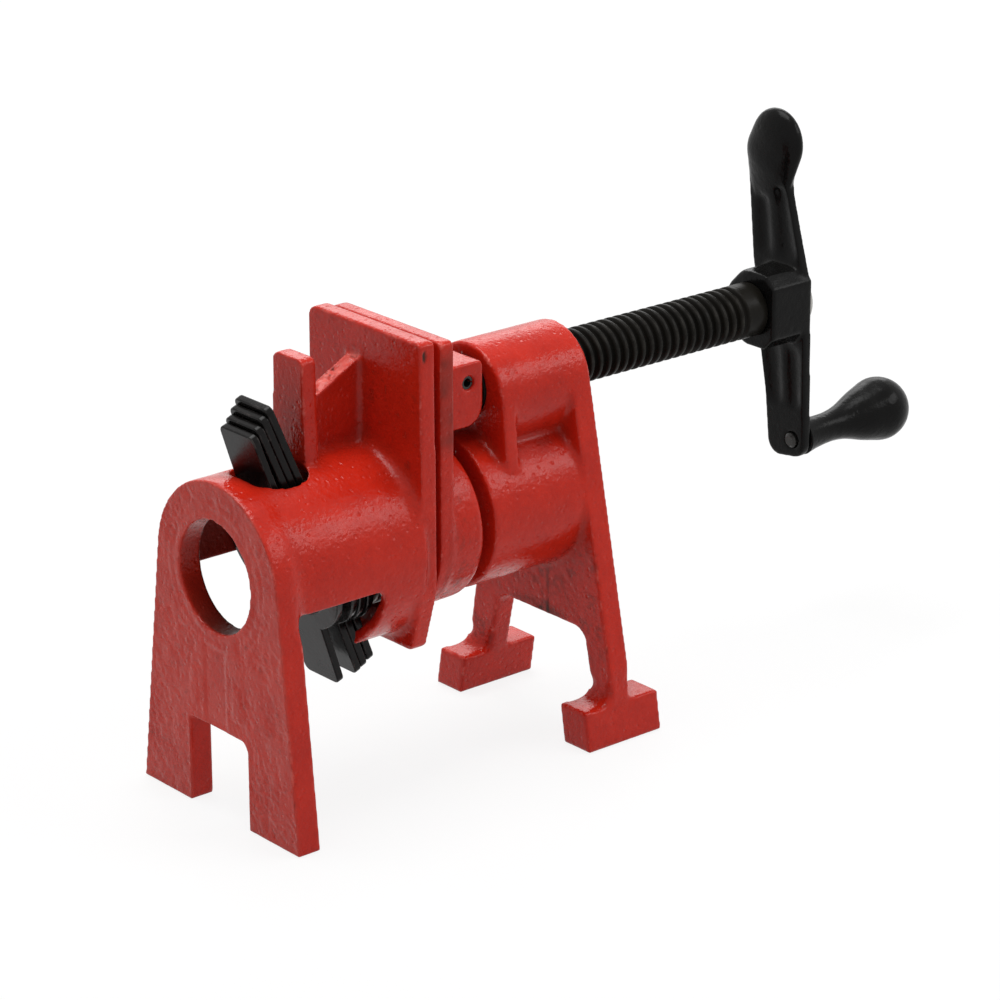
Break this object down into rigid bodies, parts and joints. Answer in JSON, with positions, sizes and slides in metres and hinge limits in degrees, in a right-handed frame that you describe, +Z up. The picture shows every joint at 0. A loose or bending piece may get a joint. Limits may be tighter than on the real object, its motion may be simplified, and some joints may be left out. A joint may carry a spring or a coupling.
{
  "type": "pipe clamp",
  "caption": "Woodworking pipe clamp: a cast head with a crank screw and sliding jaw, and a tail jaw that locks on the pipe with tilting plates.",
  "frame": {"origin": "on the bench under the pipe's centre line, at the front face of the tail jaw's leg plate", "axes": "+X along the pipe from the tail jaw towards the crank, +Y sideways, +Z up; the stored pose stands on its feet with the jaws nearly shut and no pipe"},
  "size_m": [0.2244, 0.0624, 0.1429],
  "materials": {
    "enamel": "rough cast iron under glossy red enamel",
    "black_paint": "glossy black paint",
    "dark_steel": "dark oxide, lightly oiled",
    "spring_steel": "plain bright steel"
  },
  "bodies": {
    "head": {"head": "enamel"},
    "front_jaw": {"movable_jaw": "enamel", "screw_pin": "dark_steel"},
    "screw": {"clamp_screw": "dark_steel", "crank_handle": "black_paint", "crank_washer": "spring_steel", "crank_screw": "spring_steel", "knob_pin": "spring_steel"},
    "knob": {"crank_knob": "black_paint"},
    "tail": {"tail_jaw": "enamel", "clutch_spring": "spring_steel"},
    "clutch": {"clutch_plate_1": "black_paint", "clutch_plate_2": "black_paint", "clutch_plate_3": "black_paint", "clutch_plate_4": "black_paint"}
  },
  "joints": [
    {"name": "jaw_slide", "type": "slide", "parent": "head", "child": "front_jaw", "axis": [-1, 0, 0], "range_m": [-0.003, 0.058]},
    {"name": "screw_turn", "type": "hinge", "parent": "front_jaw", "child": "screw", "pos_m": [0.06, 0, 0.09205], "axis": [-1, 0, 0], "range_deg": [-376.31, 7275.26]},
    {"name": "knob_spin", "type": "hinge", "parent": "screw", "child": "knob", "pos_m": [0.1844, -0.0051, 0.0547], "axis": [0.9986, 0, 0.0523], "continuous": true},
    {"name": "tail_slide", "type": "slide", "parent": "front_jaw", "child": "tail", "axis": [-1, 0, 0], "range_m": [0, 0.3]},
    {"name": "clutch_tilt", "type": "hinge", "parent": "tail", "child": "clutch", "pos_m": [0.0225, 0, 0.0745], "axis": [0, 1, 0], "range_deg": [0, 5], "stiffness_Nm_per_rad": 0.2, "springref_deg": -5.73, "deforming": ["clutch_spring"]}
  ],
  "couplings": [
    {"joint": "screw_turn", "follows": "jaw_slide", "rad_per_m": 2189.3}
  ]
}
